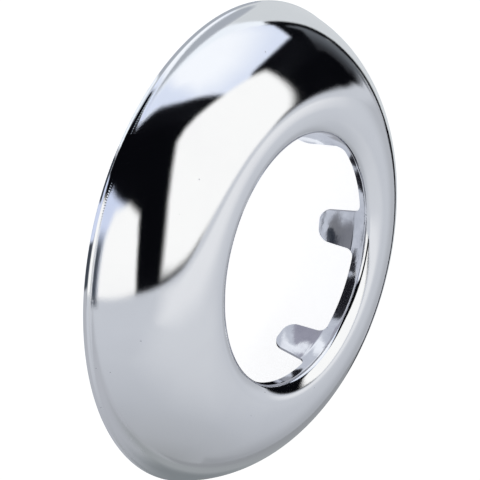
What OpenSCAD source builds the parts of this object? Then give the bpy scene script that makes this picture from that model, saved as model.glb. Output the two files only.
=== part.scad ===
// Pipe rosette: a chromed cover ring pressed from one sheet of metal.
// It slides over a pipe and hides the hole that the pipe comes out of.
// Six spring tongues behind the collar grip the pipe.
// Sizes are in millimetres. The axis is Z, the front faces +Z
// and the rim stands on z = 0.

/* [Overall] */
// Outside diameter at the rim
rosette_diameter = 65; // [55:0.5:90]
// Height of the crest above the rim's plane
crest_height = 11.2; // [9:0.1:16]
// Clear diameter of the collar
bore_diameter = 33.6; // [28:0.1:40]
// Thickness of the sheet
sheet = 0.4; // [0.3:0.05:0.8]

/* [Dome section] */
// Radius of the outer surface over the crest
crest_radius = 11.6; // [9:0.1:14]
// Angle that the crest radius covers on the outer side
crest_turn = 31; // [20:1:40]
// Radius of the outer surface between crest and lip
shoulder_radius = 4.2; // [2:0.1:6]
// Angle that the shoulder radius covers
shoulder_turn = 32; // [15:1:45]
// Radius of the lip, where the sheet rolls into the collar
lip_radius = 0.95; // [0.6:0.05:2]

/* [Rim] */
// Height of the pressed band round the rim
band_height = 0.48; // [0.35:0.01:0.8]
// How far the band stands out past the flank
band_flare = 0.13; // [0.05:0.01:0.3]
// Height of the band's upright edge
band_land = 0.22; // [0.1:0.01:0.3]

/* [Collar] */
// Mean depth of the collar's trimmed edge below the end of the lip's roll
collar_depth = 1.1; // [0.6:0.05:3]
// How much the trimmed edge is higher or lower from gap to gap
trim_step = 0.3; // [0:0.05:0.5]

/* [Tongues] */
// Number of spring tongues
tongue_count = 6; // [3:1:8]
// Direction of the first tongue round the axis
tongue_start = 50; // [0:1:360]
// Space between the tongue tips and the rim's plane
tip_gap = 3; // [1:0.1:5]
// Width of a tongue at its rounded end
tongue_width = 4.58; // [3:0.02:6]
// Corner radius of the tongue's end
tip_radius = 1.8; // [0.5:0.05:2.2]
// Angle by which each side of a tongue widens to its root
tongue_taper = 6.5; // [0:0.5:10]
// Angle by which the tongues lean in towards the pipe
tongue_lean = 10; // [0:0.5:14]
// How far below the collar's lowest edge that lean begins
bend_drop = 0.2; // [0.1:0.05:1]
// Radius of the bend where it begins, on the side towards the pipe
bend_radius = 1.5; // [0.5:0.1:4]
// Radius of the corners between tongue and collar
root_radius = 1.2; // [0.4:0.05:2]

/* [Hidden] */
$fn = 96;
rim_r = rosette_diameter / 2;
bore_r = bore_diameter / 2;

// Centres of the section's radii, from the collar outwards
lip_x = bore_r + lip_radius;
lip_z = crest_height - shoulder_radius + (shoulder_radius - lip_radius) * cos(shoulder_turn);
crest_x = lip_x + (shoulder_radius - lip_radius) * sin(shoulder_turn);
shoulder_z = crest_height - shoulder_radius;
crest_z = crest_height - crest_radius;

// The flank's radius is the one that meets the crest radius and the rim's band
flank_foot_x = rim_r - band_flare;
foot_dx = flank_foot_x - crest_x;
foot_dz = band_height - crest_z;
flank_shift = (foot_dx * foot_dx + foot_dz * foot_dz - crest_radius * crest_radius)
    / (2 * (foot_dx * sin(crest_turn) + foot_dz * cos(crest_turn) - crest_radius));
flank_radius = crest_radius - flank_shift;
flank_x = crest_x + flank_shift * sin(crest_turn);
flank_z = crest_z + flank_shift * cos(crest_turn);
foot_angle = atan2(flank_foot_x - flank_x, band_height - flank_z);

// Where the collar is trimmed, the tongues bend and their uncut blades end
collar_edge = lip_z - collar_depth;
bend_z = collar_edge - trim_step - bend_drop;
bend_low_z = bend_z - bend_radius * sin(tongue_lean);
bend_low_r = bore_r - bend_radius * (1 - cos(tongue_lean));
blade_end_z = tip_gap - 1;
blade_end_r = bend_low_r - (bend_low_z - blade_end_z) * tan(tongue_lean);

// Tongue outline, seen along the radius
tip_x = tongue_width / 2 - tip_radius * cos(tongue_taper);
side_z = tip_gap + tip_radius - tip_radius * sin(tongue_taper);
tongue_pitch = 360 / tongue_count;

// How far the pockets between the tongues reach from the axis, under the dome
pocket_reach = bore_r + sheet + 1.5;

function side_x(z) = tongue_width / 2 + (z - side_z) * tan(tongue_taper);
function edge_z(gap) = collar_edge + trim_step * [-1, 1, 0][(gap + tongue_count) % 3];

// Points of an arc about (x, z). Directions are angles from +Z towards +X.
// An arc that carries on from another one leaves out its own first point.
function arc(x, z, r, from, to, steps, first = 0) = [
    for (i = [first : steps])
        let (a = from + (to - from) * i / steps)
            [x + r * sin(a), z + r * cos(a)]
];

// Front of the sheet, from the foot of the flank over the crest into a tongue.
// With t as the thickness of the sheet it gives the back.
function sheet_face(t) = concat(
    arc(flank_x, flank_z, flank_radius - t, foot_angle, crest_turn, 24),
    arc(crest_x, crest_z, crest_radius - t, crest_turn, 0, 16, 1),
    arc(crest_x, shoulder_z, shoulder_radius - t, 0, -shoulder_turn, 10, 1),
    arc(lip_x, lip_z, lip_radius - t, -shoulder_turn, -90, 8, 1),
    arc(bore_r - bend_radius, bend_z, bend_radius + t, 90, 90 + tongue_lean, 3),
    [[blade_end_r + t * cos(tongue_lean), blade_end_z - t * sin(tongue_lean)]]
);

function reversed(points) = [for (i = [len(points) - 1 : -1 : 0]) points[i]];

// Half section of the whole ring before the tongues are cut free
module ring_section() {
    polygon(concat(
        [
            [rim_r - 0.75 * sheet, 0],
            [rim_r, 0],
            [rim_r, band_land]
        ],
        sheet_face(0),
        reversed(sheet_face(sheet))
    ));
}

// One side of a tongue, from its tip round into the collar.
// z is the level at which the collar is trimmed on that side.
// The root corner runs out just above that level, so that it meets the trimmed edge.
function tongue_side(z) = let (
    root_z = z - 0.99 * root_radius,
    root_x = side_x(root_z) + root_radius / cos(tongue_taper)
) concat(
    arc(tip_x, tip_gap + tip_radius, tip_radius, 180, 90 + tongue_taper, 7),
    arc(root_x, root_z, root_radius, tongue_taper - 90, 0, 7),
    [[root_x, lip_z]]
);

// Block that holds one tongue. Its outline is the tongue's, seen along the radius.
module tongue_block(right_z, left_z) {
    translate([0, pocket_reach, 0])
        rotate([90, 0, 0])
            linear_extrude(height = pocket_reach - 0.5 * bore_r)
                polygon(concat(
                    tongue_side(right_z),
                    [for (p = reversed(tongue_side(left_z))) [-p[0], p[1]]]
                ));
}

// Wedge from the axis outwards, below the level at which one gap is trimmed.
// It reaches a little past the middle of the tongues on both sides.
module gap_pocket(z) {
    half = pocket_reach * tan(tongue_pitch / 2 + 0.5);
    translate([0, 0, blade_end_z - 1])
        linear_extrude(height = z - blade_end_z + 1)
            polygon([
                [0, 0],
                [pocket_reach, -half],
                [pocket_reach, half]
            ]);
}

module rosette() {
    color([0.82, 0.83, 0.85])
        difference() {
            rotate_extrude()
                ring_section();
            difference() {
                for (i = [0 : tongue_count - 1])
                    rotate([0, 0, tongue_start + (i + 0.5) * tongue_pitch])
                        gap_pocket(edge_z(i));
                for (i = [0 : tongue_count - 1])
                    rotate([0, 0, tongue_start + i * tongue_pitch - 90])
                        tongue_block(edge_z(i - 1), edge_z(i));
            }
        }
}

rosette();
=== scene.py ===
"""Chromed pipe rosette lying on its rim on a pale floor, in a studio of cards and softboxes."""
import math

import bmesh
import bpy
from mathutils import Matrix, Vector


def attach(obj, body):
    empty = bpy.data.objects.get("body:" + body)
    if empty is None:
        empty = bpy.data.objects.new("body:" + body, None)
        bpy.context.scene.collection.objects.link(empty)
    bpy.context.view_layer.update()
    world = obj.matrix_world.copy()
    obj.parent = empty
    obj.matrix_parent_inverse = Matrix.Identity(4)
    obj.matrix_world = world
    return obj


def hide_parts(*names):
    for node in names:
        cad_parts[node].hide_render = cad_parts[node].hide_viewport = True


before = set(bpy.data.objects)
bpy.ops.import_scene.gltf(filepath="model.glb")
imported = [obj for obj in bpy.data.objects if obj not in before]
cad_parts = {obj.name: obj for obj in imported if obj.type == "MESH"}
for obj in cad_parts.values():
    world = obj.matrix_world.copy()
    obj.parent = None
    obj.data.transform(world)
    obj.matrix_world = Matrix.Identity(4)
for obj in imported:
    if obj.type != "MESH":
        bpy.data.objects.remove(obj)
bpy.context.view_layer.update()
scene = bpy.context.scene
scene.view_settings.view_transform = "Standard"
MM = 0.001

# The camera: a long lens, its two directions in the frame, its place in millimetres
# and the small shift of its picture
LENS = 187.5
SENSOR = 36.0
CAMERA_RIGHT = Vector((0.25308, -0.51237, 0.82063))
CAMERA_UP = Vector((0.96745, 0.13404, -0.21467))
CAMERA_PLACE = Vector((0.625, 280.485, 175.72))
SHIFT_RIGHT = 0.0005
SHIFT_UP = -0.0009


def add_camera():
    """A long lens looking down on the ring, rolled so that its axis points right and down."""
    data = bpy.data.cameras.new("camera")
    data.lens = LENS
    data.sensor_width = SENSOR
    data.shift_x = SHIFT_RIGHT
    data.shift_y = SHIFT_UP
    back = CAMERA_RIGHT.cross(CAMERA_UP)
    place = Matrix((CAMERA_RIGHT, CAMERA_UP, back)).transposed().to_4x4()
    place.translation = CAMERA_PLACE * MM
    camera = bpy.data.objects.new("camera", data)
    camera.matrix_world = place
    scene.collection.objects.link(camera)
    scene.camera = camera


# The ring's section and tongues, in millimetres. They are the CAD model's, apart from the rim's
# band, whose bevel is a little higher here. A circle is (distance from the axis, height, radius),
# angles are in degrees. The band is given by (distance from the axis, height), up to the flank.

RIM = [
    (32.435, 0.0), (32.475, 0.015), (32.495, 0.045), (32.5, 0.09), (32.494, 0.2), (32.478, 0.33),
    (32.455, 0.44), (32.435, 0.52), (32.418, 0.555), (32.38, 0.62), (32.335, 0.7), (32.3, 0.76),
]
BORE_R = 16.8
SHEET = 0.4
LIP = (17.75, 9.7562, 0.95)
SHOULDER = (19.4722, 7.0, 4.2)
CREST = (19.4722, -0.4, 11.6)
FLANK = (17.4768, -3.7210, 15.4744)
FLANK_FOOT = 72.97
COLLAR_EDGE = 8.656
TRIM = (-0.3, 0.3, 0.0)
BEND_Z = 8.156
BEND_R = 1.5
LEAN = 10.0
TONGUES = 6
FIRST_TONGUE = 50.0
TIP_Z = 3.0
TIP_R = 1.8
TIP_HALF = 2.29
TAPER = 6.5
ROOT_R = 1.2
EDGE_ROUND = 0.06

# Relief of the surface: the number of fine press flutes round the rim, and in millimetres where
# their band lies, half its width and their depth, then the depth of the polished front's grain
# and of the press marks under the inner plating
FLUTES = 600
FLUTE_Z = 0.86
FLUTE_HALF = 0.09
FLUTE_DEPTH = 0.013
GRAIN = 0.003
PRESS_MARKS = 0.006

# The mesh is a grid of columns round the axis. A tongue is 16 columns wide.
COLUMNS = 288
PER_TONGUE = COLUMNS // TONGUES
HALF_TONGUE = 8
COLLAR_ROWS = 5


def arc(circle, start, end, steps, first=0):
    """Points of an arc; directions are angles in degrees from +Z towards the outside."""
    x, z, r = circle
    angles = [math.radians(start + (end - start) * i / steps) for i in range(first, steps + 1)]
    return [(x + r * math.sin(a), z + r * math.cos(a)) for a in angles]


def front_section():
    """Front of the sheet from the rim to the end of the lip's roll."""
    return (
        RIM
        + arc(FLANK, FLANK_FOOT, 31, 30)
        + arc(CREST, 31, 0, 16, 1)
        + arc(SHOULDER, 0, -32, 12, 1)
        + arc(LIP, -32, -90, 12, 1)
    )


def inner_radius(z):
    """Radius of the side towards the pipe, down the collar and the bent tongues."""
    if z >= BEND_Z:
        return BORE_R
    lean = math.radians(LEAN)
    low = BEND_Z - BEND_R * math.sin(lean)
    if z >= low:
        return BORE_R - BEND_R + math.sqrt(BEND_R ** 2 - (BEND_Z - z) ** 2)
    return BORE_R - BEND_R * (1 - math.cos(lean)) - (low - z) * math.tan(lean)


def edge_height(gap):
    """Height at which the collar is trimmed in one gap between two tongues."""
    return COLLAR_EDGE + TRIM[gap % 3]


def tongue_side(edge):
    """Half outline of a tongue, from its root in the trimmed edge down to its tip."""
    taper = math.radians(TAPER)
    side_z = TIP_Z + TIP_R - TIP_R * math.sin(taper)
    root_z = edge - ROOT_R
    root_x = TIP_HALF + (root_z - side_z) * math.tan(taper) + ROOT_R / math.cos(taper)
    root = arc((root_x, root_z, ROOT_R), 0, TAPER - 90, 9)
    tip = arc((TIP_HALF - TIP_R * math.cos(taper), TIP_Z + TIP_R, TIP_R), 90 + TAPER, 180, 10)
    (x0, z0), (x1, z1) = root[-1], tip[0]
    side = [(x0 + (x1 - x0) * i / 6, z0 + (z1 - z0) * i / 6) for i in range(1, 6)]
    return root + side + tip


def column_place(column):
    """Which tongue a column belongs to, and how many columns it lies from that tongue's middle."""
    turned = (column - round(FIRST_TONGUE * COLUMNS / 360)) % COLUMNS
    tongue = round(turned / PER_TONGUE)
    return tongue % TONGUES, turned - tongue * PER_TONGUE


def collar_point(tongue, k, row, sides):
    """(angle from the tongue's middle, height) of a grid point on a collar or tongue row."""
    edge_row = max(row - COLLAR_ROWS, 0)
    (xa, za), (xb, zb) = sides[(tongue - 1) % TONGUES][edge_row], sides[tongue][edge_row]
    if abs(k) <= HALF_TONGUE:
        across = (k + HALF_TONGUE) / (2 * HALF_TONGUE)
        z = za + (zb - za) * across
        angle = math.asin((-xa + (xa + xb) * across) / inner_radius(z))
    else:
        x, z = (xb, zb) if k > 0 else (xa, za)
        root = math.asin(x / BORE_R)
        reach = (abs(k) - HALF_TONGUE) / (PER_TONGUE / 2 - HALF_TONGUE)
        angle = math.copysign(root + (math.pi / TONGUES - root) * reach, k)
    if row < COLLAR_ROWS:
        share = row / COLLAR_ROWS
        even = k * math.tau / COLUMNS
        angle = even + (angle - even) * share
        z = LIP[1] + (z - LIP[1]) * share
    return angle, z


def build_ring():
    """The pressed sheet: the section spun round the axis, with tongues cut out of the collar."""
    section = front_section()
    sides = [tongue_side(edge_height(gap)) for gap in range(TONGUES)]
    lip_row = len(section) - 1
    lowest = lip_row + COLLAR_ROWS + len(sides[0]) - 1
    section += [(BORE_R, LIP[1] - 0.1 * i) for i in range(1, lowest - lip_row + 1)]

    bm = bmesh.new()
    row_of = bm.verts.layers.int.new("row")
    verts = []
    for row, (x, z) in enumerate(section):
        vert = bm.verts.new((x * MM, 0, z * MM))
        vert[row_of] = row
        verts.append(vert)
    edges = [bm.edges.new(pair) for pair in zip(verts, verts[1:])]
    bmesh.ops.spin(
        bm, geom=verts + edges, axis=(0, 0, 1), cent=(0, 0, 0), dvec=(0, 0, 0),
        angle=math.tau, steps=COLUMNS, use_merge=True, use_normal_flip=False, use_duplicate=False,
    )

    def turn(point):
        return math.atan2(point.y, point.x) * COLUMNS / math.tau

    cut = []
    for face in bm.faces:
        k = column_place(math.floor(turn(face.calc_center_median())) + 0.5)[1]
        if max(v[row_of] for v in face.verts) > lip_row + COLLAR_ROWS and abs(k) > HALF_TONGUE:
            cut.append(face)
    bmesh.ops.delete(bm, geom=cut, context="FACES")

    for vert in bm.verts:
        row = vert[row_of] - lip_row
        if row <= 0:
            continue
        tongue, k = column_place(round(turn(vert.co)))
        angle, z = collar_point(tongue, k, row, sides)
        angle += math.radians(FIRST_TONGUE) + tongue * math.tau / TONGUES
        r = inner_radius(z)
        vert.co = Vector((r * math.cos(angle), r * math.sin(angle), z)) * MM

    bmesh.ops.recalc_face_normals(bm, faces=bm.faces)
    crest = max(bm.faces, key=lambda f: f.calc_center_median().z)
    if crest.normal.z < 0:
        bmesh.ops.reverse_faces(bm, faces=bm.faces)
    for face in bm.faces:
        face.smooth = True
        face.material_index = int(max(v[row_of] for v in face.verts) > lip_row)
    mesh = bpy.data.meshes.new("rosette_sheet")
    bm.to_mesh(mesh)
    bm.free()

    ring = bpy.data.objects.new("rosette_sheet", mesh)
    scene.collection.objects.link(ring)
    solid = ring.modifiers.new("sheet", "SOLIDIFY")
    solid.thickness = SHEET * MM
    solid.offset = -1
    solid.use_even_offset = True
    solid.material_offset = 1
    edge = ring.modifiers.new("cut_edges", "BEVEL")
    edge.width = EDGE_ROUND * MM
    edge.segments = 2
    edge.limit_method = "ANGLE"
    edge.angle_limit = math.radians(45)
    edge.harden_normals = True
    return ring


def new_group(name, inputs, output):
    """A shader node group with float or vector inputs and one float output."""
    group = bpy.data.node_groups.new(name, "ShaderNodeTree")
    for label, kind, value in inputs:
        socket = group.interface.new_socket(label, in_out="INPUT", socket_type=kind)
        if value is not None:
            socket.default_value = value
    group.interface.new_socket(output, in_out="OUTPUT", socket_type="NodeSocketFloat")
    return group, group.nodes.new("NodeGroupInput"), group.nodes.new("NodeGroupOutput")


def node_of(tree, kind, operation=None, **sockets):
    """A node with its operation and its inputs' values or links, by name, or by number as in _0."""
    node = tree.nodes.new(kind)
    if operation:
        node.operation = operation
    for label, value in sockets.items():
        index = int(label[1:]) if label[0] == "_" else label
        if isinstance(value, bpy.types.NodeSocket):
            tree.links.new(value, node.inputs[index])
        else:
            node.inputs[index].default_value = value
    return node


def blotches_group():
    """Soft blotches between 0 and 1, for smudges, uneven plating and the sheet's fine grain."""
    group, source, out = new_group(
        "blotches",
        [("Vector", "NodeSocketVector", None), ("Scale", "NodeSocketFloat", 100.0),
         ("Low", "NodeSocketFloat", 0.3), ("High", "NodeSocketFloat", 0.7)],
        "Mask",
    )
    noise = node_of(
        group, "ShaderNodeTexNoise", Vector=source.outputs["Vector"], Scale=source.outputs["Scale"],
        Detail=3.0, Roughness=0.55,
    )
    stretch = group.nodes.new("ShaderNodeMapRange")
    group.links.new(noise.outputs[0], stretch.inputs["Value"])
    group.links.new(source.outputs["Low"], stretch.inputs["From Min"])
    group.links.new(source.outputs["High"], stretch.inputs["From Max"])
    group.links.new(stretch.outputs["Result"], out.inputs["Mask"])
    return group


def specks_group():
    """Scattered dust specks and pits: 1 in a speck, 0 elsewhere."""
    group, source, out = new_group(
        "specks",
        [("Vector", "NodeSocketVector", None), ("Scale", "NodeSocketFloat", 700.0),
         ("Size", "NodeSocketFloat", 0.08), ("Share", "NodeSocketFloat", 0.15)],
        "Mask",
    )
    place, scale = source.outputs["Vector"], source.outputs["Scale"]
    cells = node_of(group, "ShaderNodeTexVoronoi", Vector=place, Scale=scale)
    away = cells.outputs["Distance"]
    dot = node_of(group, "ShaderNodeMath", "LESS_THAN", _0=away, _1=source.outputs["Size"])
    pick = node_of(group, "ShaderNodeSeparateColor")
    group.links.new(cells.outputs["Color"], pick.inputs[0])
    share = source.outputs["Share"]
    chosen = node_of(group, "ShaderNodeMath", "LESS_THAN", _0=pick.outputs[0], _1=share)
    both = node_of(group, "ShaderNodeMath", "MULTIPLY", _0=dot.outputs[0], _1=chosen.outputs[0])
    group.links.new(both.outputs[0], out.inputs["Mask"])
    return group


def place_group(tree, group, vector, **values):
    """Put a node group into a material with its own values."""
    node = tree.nodes.new("ShaderNodeGroup")
    node.node_tree = group
    tree.links.new(vector, node.inputs["Vector"])
    for label, value in values.items():
        node.inputs[label].default_value = value
    return node.outputs["Mask"]


def mix_colours(tree, share, first, second):
    """The first colour where the share is 0, the second where it is 1."""
    mix = tree.nodes.new("ShaderNodeMix")
    mix.data_type = "RGBA"
    tree.links.new(share, mix.inputs["Factor"])
    for socket, value in (("A", first), ("B", second)):
        place = [i for i in mix.inputs if i.name == socket and i.type == "RGBA"][0]
        if isinstance(value, bpy.types.NodeSocket):
            tree.links.new(value, place)
        else:
            place.default_value = (*value, 1)
    return [o for o in mix.outputs if o.type == "RGBA"][0]


def spread(tree, value, low, high, start=0.0, end=1.0):
    """Map a value between start and end to the range low to high."""
    node = tree.nodes.new("ShaderNodeMapRange")
    tree.links.new(value, node.inputs["Value"])
    ends = {"From Min": start, "From Max": end, "To Min": low, "To Max": high}
    for label, number in ends.items():
        node.inputs[label].default_value = number
    return node.outputs["Result"]


def bump(tree, height, distance, normal=None):
    """Normal of a relief with this depth, on top of another normal."""
    node = node_of(tree, "ShaderNodeBump", Strength=1.0, Distance=distance, Height=height)
    if normal:
        tree.links.new(normal, node.inputs["Normal"])
    return node.outputs["Normal"]


def metal(name):
    """A metal material: itself, its node tree, its shader and the place on the object."""
    material = bpy.data.materials.new(name)
    material.use_nodes = True
    tree = material.node_tree
    shader = tree.nodes["Principled BSDF"]
    shader.inputs["Metallic"].default_value = 1.0
    place = tree.nodes.new("ShaderNodeTexCoord").outputs["Object"]
    return material, tree, shader, place


def rim_flutes(tree, place):
    """Height of the small flutes that the press left along the fold above the rim's band."""
    axes = node_of(tree, "ShaderNodeSeparateXYZ", Vector=place)
    angle = node_of(tree, "ShaderNodeMath", "ARCTAN2", _0=axes.outputs["Y"], _1=axes.outputs["X"])
    waves = node_of(tree, "ShaderNodeMath", "MULTIPLY", _0=angle.outputs[0], _1=float(FLUTES))
    uneven = node_of(tree, "ShaderNodeTexNoise", Vector=place, Scale=500.0, Detail=2.0)
    shifted = node_of(
        tree, "ShaderNodeMath", "MULTIPLY_ADD", _0=uneven.outputs[0], _1=5.0, _2=waves.outputs[0],
    )
    wave = node_of(tree, "ShaderNodeMath", "SINE", _0=shifted.outputs[0])
    lifted = node_of(tree, "ShaderNodeMath", "SUBTRACT", _0=axes.outputs["Z"], _1=FLUTE_Z * MM)
    away = node_of(tree, "ShaderNodeMath", "ABSOLUTE", _0=lifted.outputs[0])
    band = spread(tree, away.outputs[0], 1.0, 0.0, 0.0, FLUTE_HALF * MM)
    patches = node_of(tree, "ShaderNodeTexNoise", Vector=place, Scale=120.0, Detail=1.0)
    worn = spread(tree, patches.outputs[0], 0.15, 1.0, 0.4, 0.6)
    masked = node_of(tree, "ShaderNodeMath", "MULTIPLY", _0=wave.outputs[0], _1=band)
    return node_of(tree, "ShaderNodeMath", "MULTIPLY", _0=masked.outputs[0], _1=worn).outputs[0]


# Tints of the metal, and how rough it is where it is clean and where it is smudged
CHROME_CLEAN = (0.905, 0.91, 0.92)
CHROME_SMUDGED = (0.875, 0.88, 0.895)
CHROME_DUST = (0.62, 0.63, 0.66)
CHROME_ROUGH = (0.045, 0.07)
DUST_ROUGH = 0.45
PLATE_CLEAN = (0.82, 0.83, 0.86)
PLATE_DULL = (0.70, 0.71, 0.75)
PLATE_PIT = (0.30, 0.30, 0.32)
PLATE_ROUGH = (0.05, 0.10)


def bright_chrome(blotches, specks):
    """Polished chrome of the front: a mirror with a faint grain, a few smudges and dust specks."""
    material, tree, shader, place = metal("bright_chrome")
    smudge = place_group(tree, blotches, place, Scale=90.0, Low=0.45, High=0.75)
    dust = place_group(tree, specks, place, Scale=620.0, Size=0.07, Share=0.10)
    clean = mix_colours(tree, smudge, CHROME_CLEAN, CHROME_SMUDGED)
    tree.links.new(mix_colours(tree, dust, clean, CHROME_DUST), shader.inputs["Base Color"])
    gloss = spread(tree, smudge, *CHROME_ROUGH)
    rough = node_of(tree, "ShaderNodeMath", "MULTIPLY_ADD", _0=dust, _1=DUST_ROUGH, _2=gloss)
    tree.links.new(rough.outputs[0], shader.inputs["Roughness"])
    grain = place_group(tree, blotches, place, Scale=7500.0, Low=0.0, High=1.0)
    normal = bump(tree, grain, GRAIN * MM)
    normal = bump(tree, rim_flutes(tree, place), FLUTE_DEPTH * MM, normal)
    tree.links.new(normal, shader.inputs["Normal"])
    return material


def inner_plating(blotches, specks):
    """The collar, the tongues and the back, in a darker and duller plating than the front's, over
    the press marks.
    """
    material, tree, shader, place = metal("inner_plating")
    smudge = place_group(tree, blotches, place, Scale=420.0, Low=0.35, High=0.65)
    pits = place_group(tree, specks, place, Scale=1500.0, Size=0.10, Share=0.20)
    plate = mix_colours(tree, smudge, PLATE_CLEAN, PLATE_DULL)
    tree.links.new(mix_colours(tree, pits, plate, PLATE_PIT), shader.inputs["Base Color"])
    tree.links.new(spread(tree, smudge, *PLATE_ROUGH), shader.inputs["Roughness"])
    grain = place_group(tree, blotches, place, Scale=900.0, Low=0.0, High=1.0)
    tree.links.new(bump(tree, grain, PRESS_MARKS * MM), shader.inputs["Normal"])
    return material


# The studio that the chrome mirrors. Its own upright is tilted against the floor
# that the ring lies on, as the camera is.
STUDIO_UP = Vector((0.8378, 0.5404, 0.0775))
STUDIO_NEAR = Vector((-0.4837, 0.6690, 0.5642))
STUDIO_RIGHT = Vector((0.2531, -0.5102, 0.8220))

# Distances in metres
NEAR_BOX = 1.5
SIDE_FLAG = 2.3
BACK_WALL = 13.0
CEILING = 60.0
TABLE_DROP = 0.4
TABLE_REACH = 12.0

# Glows of the cards and sheets, as linear red, green and blue
BLACK = (0.0022, 0.0024, 0.0036)
WARM_WHITE = (1.04, 1.04, 1.03)
COOL_WHITE = (0.755, 0.82, 0.97)
CLEAN_WHITE = (1.0, 1.03, 1.08)
HAZE = (0.66, 0.73, 0.92)
WEDGE_GREY = (0.11, 0.12, 0.135)
WEDGE_SHADE = (0.024, 0.025, 0.029)
SILL_LIGHT = (0.815, 0.83, 0.86)
STREAK_GREY = (0.055, 0.065, 0.082)
SHEET_GREY = (0.475, 0.492, 0.535)
SHEET_SHADE = (0.305, 0.318, 0.338)
FAR_SHADE = (0.40, 0.415, 0.44)
SHEET_LIGHT = (0.66, 0.69, 0.715)
SHEET_NEAR = (0.42, 0.45, 0.50)
SHEET_BRIGHT = (0.93, 0.98, 1.04)
RIM_SHADE = (0.34, 0.36, 0.375)
RIM_DARK = (0.22, 0.24, 0.255)
BORE_LIGHT = (0.62, 0.65, 0.72)
BORE_GREY = (0.36, 0.36, 0.43)
UNDER_SHADE = (0.36, 0.37, 0.41)
UNDER_GREY = (0.23, 0.235, 0.26)
TONGUE_DARK = (0.028, 0.033, 0.045)
TONGUE_GREY = (0.21, 0.215, 0.235)
BORE_DARK = (0.012, 0.012, 0.016)

# The table's glow, with painted shade: at its foot, straight below the ring, at shares of its
# shaded reach, and far out
TABLE_FOOT = (0.335, 0.350, 0.366)
TABLE_BETWEEN = [
    (0.12, (0.430, 0.448, 0.480)), (0.28, (0.500, 0.522, 0.565)),
    (0.40, (0.530, 0.553, 0.600)), (0.58, (0.568, 0.592, 0.640)),
]
TABLE_FAR = (0.600, 0.625, 0.675)


def studio_direction(turn, height):
    """Direction, in degrees to the right of the camera and above the studio's horizon."""
    t, h = math.radians(turn), math.radians(height)
    level = STUDIO_RIGHT * math.sin(t) + STUDIO_NEAR * math.cos(t)
    return (level * math.cos(h) + STUDIO_UP * math.sin(h)).normalized()


def card_object(name, bm, material):
    """Finish a studio card, which only the metal's reflections see."""
    mesh = bpy.data.meshes.new(name)
    bm.to_mesh(mesh)
    bm.free()
    mesh.materials.append(material)
    card = bpy.data.objects.new(name, mesh)
    scene.collection.objects.link(card)
    card.visible_camera = False
    card.visible_diffuse = False
    card.visible_shadow = False
    return card


def card_material(name, colour, density=1.0):
    """An even glow that fades out towards the card's edge, where its attribute "solid" is 0."""
    material = bpy.data.materials.new(name)
    material.use_nodes = True
    nodes, links = material.node_tree.nodes, material.node_tree.links
    nodes.clear()
    solid = nodes.new("ShaderNodeAttribute")
    solid.attribute_name = "solid"
    ease = nodes.new("ShaderNodeMapRange")
    ease.interpolation_type = "SMOOTHSTEP"
    ease.inputs["To Max"].default_value = density
    links.new(solid.outputs["Fac"], ease.inputs["Value"])
    glow = nodes.new("ShaderNodeEmission")
    glow.inputs["Color"].default_value = (*colour, 1)
    clear = nodes.new("ShaderNodeBsdfTransparent")
    mix = nodes.new("ShaderNodeMixShader")
    links.new(ease.outputs["Result"], mix.inputs["Fac"])
    links.new(clear.outputs[0], mix.inputs[1])
    links.new(glow.outputs[0], mix.inputs[2])
    out = nodes.new("ShaderNodeOutputMaterial")
    links.new(mix.outputs[0], out.inputs["Surface"])
    return material


def far_card(name, corners, distance, colour, soft, density=1.0):
    """A flat card out in the studio, given by the directions of its corners.

    soft is the angle over which its edge fades, or the corners of the part that doesn't fade.
    density is how much of what lies behind the card its middle hides.
    """
    facing = sum((studio_direction(*corner) for corner in corners), Vector()).normalized()
    bm = bmesh.new()
    solid = bm.verts.layers.float.new("solid")

    def outline(directions):
        rays = [studio_direction(*direction) for direction in directions]
        return [bm.verts.new(ray * distance / ray.dot(facing)) for ray in rays]

    edge = outline(corners)
    if isinstance(soft, list):
        core = outline(soft)
        bm.faces.new(core)
        for i, vert in enumerate(edge):
            bm.faces.new((edge[i - 1], vert, core[i], core[i - 1]))
    else:
        face = bm.faces.new(edge)
        width = distance * math.tan(math.radians(soft))
        bmesh.ops.inset_region(
            bm, faces=[face], thickness=width, use_even_offset=True, use_boundary=True,
        )
        core = face.verts
    for vert in core:
        vert[solid] = 1
    return card_object(name, bm, card_material(name, colour, density))


def floor_card(name, stations, height, colour, inner_fade=1, outer_fade=1):
    """A sheet laid on the floor round the ring's axis.

    A station is (angle, inner radius, outer radius), in degrees and millimetres. The sheet fades
    out over its first and last stations, and over so many millimetres at its inner and outer edge.
    Its height above the floor is in millimetres too.
    """
    bm = bmesh.new()
    solid = bm.verts.layers.float.new("solid")
    rows = []
    for i, (angle, inner, outer) in enumerate(stations):
        a = math.radians(angle)
        most = 0.45 * (outer - inner)
        row = []
        reaches = (inner, inner + min(inner_fade, most), outer - min(outer_fade, most), outer)
        for k, reach in enumerate(reaches):
            vert = bm.verts.new(Vector((reach * math.cos(a), reach * math.sin(a), height)) * MM)
            vert[solid] = 0 < i < len(stations) - 1 and 0 < k < 3
            row.append(vert)
        rows.append(row)
    for low, high in zip(rows, rows[1:]):
        for k in range(3):
            bm.faces.new((low[k], low[k + 1], high[k + 1], high[k]))
    return card_object(name, bm, card_material(name, colour))


def even_sheet(start, end, inner, outer, step=8, fade=10):
    """Stations of a floor card that keeps its width, with fading ends."""
    count = max(1, round((end - start - 2 * fade) / step))
    middle = [start + fade + (end - start - 2 * fade) * i / count for i in range(count + 1)]
    return [(angle, inner, outer) for angle in (start, *middle, end)]


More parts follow.
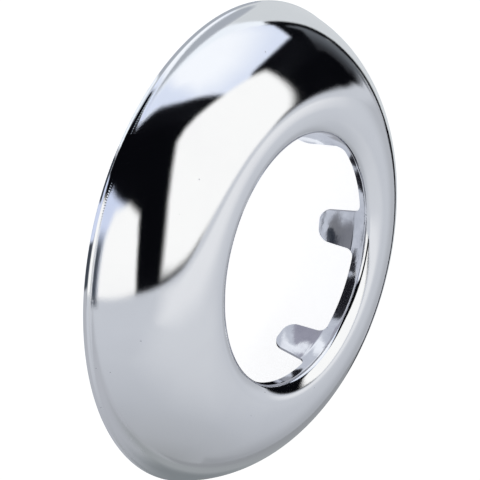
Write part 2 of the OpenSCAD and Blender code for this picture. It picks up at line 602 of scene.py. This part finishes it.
def add_table():
    """The table under the studio's horizon, a glowing card with painted shade, darkest straight
    below the ring.
    """
    bm = bmesh.new()
    bmesh.ops.create_circle(bm, cap_ends=True, segments=64, radius=TABLE_REACH)
    tilt = STUDIO_UP.to_track_quat("Z", "Y").to_matrix()
    foot = -STUDIO_UP * TABLE_DROP
    bmesh.ops.transform(bm, matrix=Matrix.Translation(foot) @ tilt.to_4x4(), verts=bm.verts)

    material = bpy.data.materials.new("table")
    material.use_nodes = True
    nodes, links = material.node_tree.nodes, material.node_tree.links
    nodes.clear()
    place = nodes.new("ShaderNodeTexCoord")
    away = nodes.new("ShaderNodeVectorMath")
    away.operation = "DISTANCE"
    links.new(place.outputs["Object"], away.inputs[0])
    away.inputs[1].default_value = foot
    share = nodes.new("ShaderNodeMapRange")
    share.inputs["From Max"].default_value = 3 * TABLE_DROP
    links.new(away.outputs["Value"], share.inputs["Value"])
    shades = nodes.new("ShaderNodeValToRGB")
    stops = shades.color_ramp.elements
    stops[0].color = (*TABLE_FOOT, 1)
    stops[1].color = (*TABLE_FAR, 1)
    for position, colour in TABLE_BETWEEN:
        stops.new(position).color = (*colour, 1)
    links.new(share.outputs["Result"], shades.inputs["Fac"])
    glow = nodes.new("ShaderNodeEmission")
    links.new(shades.outputs["Color"], glow.inputs["Color"])
    out = nodes.new("ShaderNodeOutputMaterial")
    links.new(glow.outputs[0], out.inputs["Surface"])
    card_object("table", bm, material)


def add_far_cards():
    """Two softboxes, a ceiling, black flags and haze round the table.

    A card's corners are (turn, height) in degrees, those of its outline before those of its solid
    middle.
    """
    far_card(
        "ceiling_low",
        [
            (20, 74), (60, 60), (80, 30), (110, 18), (150, 12), (175, 12), (-160, 30), (-150, 60),
            (-100, 66), (-40, 68),
        ],
        3 * CEILING, COOL_WHITE, 2,
    )
    far_card(
        "ceiling_high",
        [(66, 60), (84, 46), (105, 36), (140, 24), (178, 28), (-155, 55), (-130, 82), (50, 86)],
        CEILING, CLEAN_WHITE,
        [(104, 72), (110, 66), (122, 60), (143, 52), (170, 52), (-178, 62), (175, 76), (112, 80)],
    )
    far_card("wall_low", [(-54, -4.2), (75, -4.2), (75, 50), (-54, 50)], BACK_WALL, BLACK, 3)
    far_card(
        "wall_high",
        [
            (-54, 38), (20, 34), (87.4, 36), (87.4, 49.6), (78, 64.4), (62, 74), (30, 81.2),
            (0, 82.8), (-20, 81.5), (-40, 75.9), (-53, 63.5),
        ],
        BACK_WALL, BLACK,
        [
            (-46.5, 42), (20, 38), (85, 39), (85.4, 48.6), (76.3, 62.4), (60.8, 71.9), (30, 78.9),
            (0, 80.2), (-19.5, 78.8), (-38.5, 73), (-48.5, 60.8),
        ],
    )
    far_card(
        "flag_right",
        [
            (98, -8), (119, -8.4), (132, -7), (154, -6), (153, 29.5), (138, 23.5), (125, 31.7),
            (106, 40.8), (98, 39),
        ],
        SIDE_FLAG, BLACK,
        [
            (101, -4), (119, -4.2), (132, -4.6), (150, -4.5), (151.5, 26.5), (138, 21.5),
            (125, 29.7), (106, 38.3), (101, 37),
        ],
    )
    far_card(
        "wedge_shade",
        [(132, -9), (136.8, -1), (136.8, 6.5), (134, 10.6), (151, 15.4), (153, -13)],
        SIDE_FLAG - 0.05, WEDGE_SHADE,
        [(136, -5), (138.2, -1), (138.2, 7.2), (136.2, 9.7), (149.5, 13.9), (150, -8)],
    )
    far_card(
        "wedge_light",
        [(137, -12), (154, -14), (152, 15.5), (137, 11.2)],
        SIDE_FLAG - 0.1, WEDGE_GREY,
        [(149, -9), (151, -9), (150, 13.8), (148.5, 13.5)],
    )
    far_card(
        "flag_corner",
        [(120, -7), (132, -8), (141, -11), (147, -10), (141, -3), (124, -1.5)],
        1.0, BLACK,
        [(124, -4.4), (131, -4.7), (133.5, -5.4), (135, -5.4), (134, -4.5), (126, -3.4)],
    )
    # Painted shade and painted light on the table, as the metal mirrors it.
    far_card(
        "table_shade",
        [(121, -8), (132, -9), (160, -12), (175, -60), (140, -84), (80, -76), (106, -50)],
        0.35, BLACK,
        [(136, -13), (140, -14), (152, -16), (154, -50), (140, -66), (122, -72), (134, -50)],
        density=0.2,
    )
    far_card(
        "table_glow",
        [(14, -8), (40, -7), (70, -8), (104, -10), (112, -30), (80, -54), (20, -54), (-10, -30)],
        0.35, SILL_LIGHT,
        [(38, -14), (50, -13), (70, -13), (88, -14), (84, -22), (70, -30), (46, -30), (34, -22)],
        density=0.3,
    )
    far_card(
        "sill",
        [
            (20, -1.5), (34, -2), (47, -2), (60, -3), (73, -4.5), (89, -6.4), (103, -7.6),
            (124, -10.5), (112, -20), (96, -21.5), (60, -21.5), (14, -18),
        ],
        1.05, SILL_LIGHT,
        [
            (40, -8.5), (46, -6.5), (52, -5.6), (62, -5.8), (75, -6.8), (89, -8.3), (98, -9.4),
            (106, -10.6), (104, -11.5), (90, -12), (60, -12), (44, -10.5),
        ],
    )
    far_card(
        "haze",
        [
            (-54, -8), (-24, -4), (-11, 30), (-11, 37.5), (-20, 39.2), (-25, 40.2), (-30, 41.5),
            (-35, 43), (-42, 44.5), (-54, 44.5),
        ],
        NEAR_BOX + 0.3, HAZE,
        [
            (-51, -5), (-27, -1), (-15, 30), (-15, 34.5), (-20, 35.5), (-25, 36.4), (-30, 37.5),
            (-35, 39.3), (-41, 41.5), (-51, 41.5),
        ],
    )
    far_card(
        "streak",
        [(-40, -11), (-28, -9), (-28, 27), (-40, 27)],
        NEAR_BOX + 0.2, STREAK_GREY,
        [(-36, -6), (-33, -6), (-33, 14), (-36, 14)],
    )
    far_card(
        "softbox_left",
        [(-31.5, -5.8), (4.9, -2.6), (3.6, 20), (2, 32.8), (-12, 38.8), (-27, 36), (-31.5, 22)],
        NEAR_BOX, WARM_WHITE,
        [(-28.5, -2.3), (2.5, 0), (1.3, 20), (-0.8, 29.5), (-12, 34.8), (-23, 31), (-27.5, 20)],
    )
    far_card(
        "softbox_main",
        [
            (23.4, -0.5), (40, -1), (60, -2.2), (74, -3.5), (88, -5.8), (98, -7.2), (104.9, -5),
            (107.9, 15), (111, 33.8), (100, 43), (85, 51.5), (60, 58.7), (45, 59.2), (32.4, 56.2),
            (27.5, 43), (25.6, 30),
        ],
        NEAR_BOX, WARM_WHITE,
        [
            (30, 6), (42, 2.8), (60, 1.4), (72, -0.3), (86, -2.2), (95, -3.2), (101.5, -1.5),
            (104.4, 15), (107, 31), (99, 39.5), (84, 48.2), (60, 55.6), (46, 55.8), (38, 53.2),
            (33.6, 43), (31, 30),
        ],
    )


def add_floor_sheets():
    """Sheets of painted light and shade round the ring, that only the metal mirrors. A higher sheet
    hides the ones below it.
    """
    floor_card("sheet_light", even_sheet(-110, 80, 0, 6000), 0.02, SHEET_LIGHT)
    around = [(angle, 0, 6000) for angle in (58, *range(68, 256, 8))]
    around += [(262, 40, 6000), (272, 58, 6000), (284, 66, 6000), (294, 72, 6000), (302, 80, 6000)]
    floor_card("sheet_grey", around, 0.03, SHEET_GREY, 8)
    floor_card(
        "far_shade",
        even_sheet(168, 240, 60, 500, step=6, fade=20), 0.031, FAR_SHADE, 30, 100,
    )
    floor_card("sheet_shade", even_sheet(163, 262, 0, 6000, fade=42), 0.032, SHEET_SHADE)
    # Painted shade of the ring on the floor near its rim, as the metal mirrors it.
    floor_card("rim_shade", even_sheet(140, 245, 20, 105, fade=40), 0.034, RIM_SHADE, 1, 65)
    floor_card("rim_dark", even_sheet(150, 225, 20, 50, fade=32), 0.036, RIM_DARK, 1, 13)
    floor_card(
        "sheet_near",
        [
            (13, 20, 38), (18, 20, 46), (24, 20, 60), (30, 20, 70), (38, 20, 84), (46, 20, 80),
            (52, 20, 66), (58, 20, 54), (65, 20, 46),
        ],
        0.035, SHEET_NEAR, 1, 18,
    )
    floor_card(
        "sheet_bright",
        [
            (-33, 250, 6000), (-30, 240, 6000), (-25, 120, 6000), (-20, 92, 6000), (-14, 84, 6000),
            (-8, 72, 6000), (0, 58, 6000), (8, 50, 6000), (16, 42, 6000), (30, 42, 6000),
            (44, 44, 6000),
        ],
        0.033, SHEET_BRIGHT, 8,
    )
    floor_card(
        "sheet_blue",
        [(36, 44, 6000), (46, 44, 6000), (54, 40, 6000), (60, 38, 6000), (66, 38, 6000)],
        0.034, HAZE, 3,
    )
    # Painted highlight along the rim.
    floor_card(
        "rim_light",
        even_sheet(56, 77, 32.3, 33.9, step=4, fade=2), 0.064, SHEET_BRIGHT, 0.1, 0.3,
    )
    floor_card("rim_haze", even_sheet(81.5, 99, 32.3, 6000, fade=2.5), 0.062, HAZE, 0.1)
    floor_card(
        "streak_floor",
        [
            (95, 42, 6000), (101, 34.5, 6000), (106, 34.5, 6000), (110, 36, 6000), (114, 40, 6000),
            (118, 60, 6000), (122, 105, 6000), (127, 170, 6000),
        ],
        0.063, STREAK_GREY, 6,
    )
    floor_card(
        "rim_streak",
        even_sheet(97, 109, 32.3, 36, step=3, fade=1.5), 0.064, STREAK_GREY, 0.1, 2,
    )
    floor_card(
        "flag_floor",
        [
            (52, 150, 6000), (56, 120, 6000), (59, 80, 6000), (62, 36, 6000), (70, 34, 6000),
            (73.5, 33.6, 6000), (76, 33.3, 6000), (82, 33.2, 6000), (85, 34, 6000), (88, 60, 6000),
        ],
        0.06, BLACK, 0.5,
    )
    floor_card(
        "line_floor",
        [
            (250, 47, 60), (255, 49, 70), (260, 57, 85), (265, 60, 110), (270, 66, 140),
            (275, 68, 170), (279, 74, 260), (283, 80, 400), (287, 76, 220), (291, 72, 140),
            (296, 70, 118), (301, 66, 110), (306, 64, 110), (312, 63, 114), (318, 63, 106),
            (321, 62, 6000), (327, 62, 6000), (334, 64, 6000), (336, 68, 230), (339, 76, 175),
            (342, 80, 140), (345, 84, 110), (349, 90, 92),
        ],
        0.05, BLACK, 4, 8,
    )
    floor_card(
        "wedge_floor",
        [
            (290, 300, 6000), (296, 180, 6000), (301, 118, 6000), (306, 106, 6000),
            (312, 106, 6000), (318, 104, 6000), (323, 108, 6000), (326, 112, 400), (328, 118, 160),
        ],
        0.055, WEDGE_GREY, 8, 20,
    )
    # Painted contact shadow round the rim, and a darker stretch of it on one side.
    floor_card("rim_contact", even_sheet(-180, 180, 32.2, 33.2), 0.004, RIM_SHADE, 0.1, 0.1)
    floor_card(
        "rim_contact_dark",
        even_sheet(77.5, 89.5, 32.35, 33.3, fade=1.5), 0.067, STREAK_GREY, 0.1, 0.1,
    )


def add_sheets_inside():
    """Sheets inside the ring, which its collar, tongues and back mirror: painted light, and painted
    shade beneath the dome.
    """
    # Painted shade of the floor beneath the dome, which the ring hides from the light.
    floor_card("under_shade", even_sheet(-180, 180, 16.5, 32.4), 0.08, UNDER_SHADE, 1, 1)
    floor_card("under_dark", even_sheet(212, 252, 16.5, 32.4), 0.085, BLACK, 1, 1)
    floor_card("under_grey", even_sheet(96, 154, 13.5, 31), 0.09, UNDER_GREY, 3, 2)
    floor_card("under_light", even_sheet(140, 190, 12, 28, fade=16), 0.1, BORE_LIGHT, 3, 5)
    floor_card("collar_light", even_sheet(270, 330, 15.5, 20.5, fade=8), 0.1, BORE_LIGHT, 0.5, 1.5)
    floor_card("bore_sheet", even_sheet(-20, 350, 0, 17.5), 0.04, BORE_LIGHT)
    floor_card("bore_grey", even_sheet(-42, 30, 7, 24), 0.11, BORE_GREY, 1, 4)
    # Painted highlight: the white band across a tongue.
    floor_card(
        "tongue_glow",
        [
            (-76, 7, 12), (-70, 8, 12.5), (-58, 9, 13), (-47, 11, 14.5), (-36, 13, 17),
            (-26, 14, 20), (-16, 15.5, 21), (-6, 17.5, 20.5),
        ],
        0.12, CLEAN_WHITE, 1.2, 1.2,
    )
    # Painted highlight: a white line along the collar.
    floor_card(
        "collar_line",
        [
            (-80, 15.4, 16.2), (-74, 15.2, 16.3), (-62, 14.8, 16.1), (-50, 14.2, 15.5),
            (-42, 14, 15), (-37, 14, 14.6),
        ],
        0.13, CLEAN_WHITE, 0.2, 0.2,
    )
    floor_card("bore_dark", even_sheet(-100, 60, 0, 6.6, fade=20), 0.14, BORE_DARK, 0.1, 0.8)
    floor_card(
        "bore_dark_low",
        even_sheet(262, 277, 14.5, 18, step=3, fade=2), 0.14, BORE_DARK, 0.5, 0.5,
    )
    floor_card(
        "tongue_grey",
        [
            (108, 9, 20), (116, 8.5, 20), (126, 8, 20), (136, 7.5, 19), (146, 7, 18), (156, 7, 17),
            (166, 7.5, 16), (174, 8, 14),
        ],
        0.125, TONGUE_GREY, 1, 3,
    )
    floor_card(
        "tongue_dark",
        [
            (114, 12, 19), (120, 10.5, 18.5), (128, 8.2, 17), (136, 7.2, 15), (145, 6.6, 13),
            (153, 6.2, 11), (160, 6.2, 9),
        ],
        0.14, TONGUE_DARK, 1, 2,
    )
    floor_card(
        "collar_dark",
        [
            (193, 3.2, 4.6), (199, 3.6, 5.5), (206, 5, 8), (212, 7.6, 10), (218, 8.8, 10.5),
            (228, 9.9, 12), (236, 11, 13.8), (246, 11, 14.2), (258, 12, 15.2), (266, 13, 15.5),
        ],
        0.14, BORE_DARK, 0.3, 0.5,
    )
    floor_card("collar_dark_low", even_sheet(214, 266, 0, 3.6, fade=4), 0.13, BORE_DARK, 0.1, 0.4)


# The floor: half its width in metres, its grey, and its own glow where it is seen directly.
# The sky: how bright it is where it is seen directly, and how much light it sheds.
FLOOR_REACH = 6.0
FLOOR_GREY = 0.8
FLOOR_GLOW = 0.84
SKY_SEEN = 1.0
SKY_LIGHT = 0.25


def seen_directly(nodes, links, strength, otherwise=0.0):
    """One strength for what the camera, metal and glass see, another for the light that is shed."""
    path = nodes.new("ShaderNodeLightPath")
    total = path.outputs["Is Camera Ray"]
    for name in ("Is Glossy Ray", "Is Transmission Ray"):
        add = nodes.new("ShaderNodeMath")
        add.operation = "ADD"
        add.use_clamp = True
        links.new(total, add.inputs[0])
        links.new(path.outputs[name], add.inputs[1])
        total = add.outputs[0]
    scale = nodes.new("ShaderNodeMapRange")
    links.new(total, scale.inputs["Value"])
    scale.inputs["To Min"].default_value = otherwise
    scale.inputs["To Max"].default_value = strength
    return scale.outputs["Result"]


def add_floor():
    """A pale floor that keeps the ring's shadow and is as white in the metal as to the camera."""
    bm = bmesh.new()
    bmesh.ops.create_grid(bm, x_segments=1, y_segments=1, size=FLOOR_REACH)
    mesh = bpy.data.meshes.new("floor")
    bm.to_mesh(mesh)
    bm.free()
    floor = bpy.data.objects.new("floor", mesh)
    scene.collection.objects.link(floor)
    material = bpy.data.materials.new("floor")
    material.use_nodes = True
    nodes, links = material.node_tree.nodes, material.node_tree.links
    shader = nodes["Principled BSDF"]
    shader.inputs["Base Color"].default_value = (FLOOR_GREY, FLOOR_GREY, FLOOR_GREY, 1)
    shader.inputs["Roughness"].default_value = 1.0
    shader.inputs["Specular IOR Level"].default_value = 0.0
    shader.inputs["Emission Color"].default_value = (1, 1, 1, 1)
    links.new(seen_directly(nodes, links, FLOOR_GLOW), shader.inputs["Emission Strength"])
    mesh.materials.append(material)


def add_world():
    """A white sky that sheds little light of its own."""
    world = bpy.data.worlds.new("studio")
    scene.world = world
    world.use_nodes = True
    nodes, links = world.node_tree.nodes, world.node_tree.links
    sky = nodes["Background"]
    sky.inputs["Color"].default_value = (1, 1, 1, 1)
    links.new(seen_directly(nodes, links, SKY_SEEN, SKY_LIGHT), sky.inputs["Strength"])


add_camera()
ring = build_ring()
blotches, specks = blotches_group(), specks_group()
ring.data.materials.append(bright_chrome(blotches, specks))
ring.data.materials.append(inner_plating(blotches, specks))
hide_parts("rosette")
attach(ring, "root")
add_floor()
add_table()
add_far_cards()
add_floor_sheets()
add_sheets_inside()
add_world()
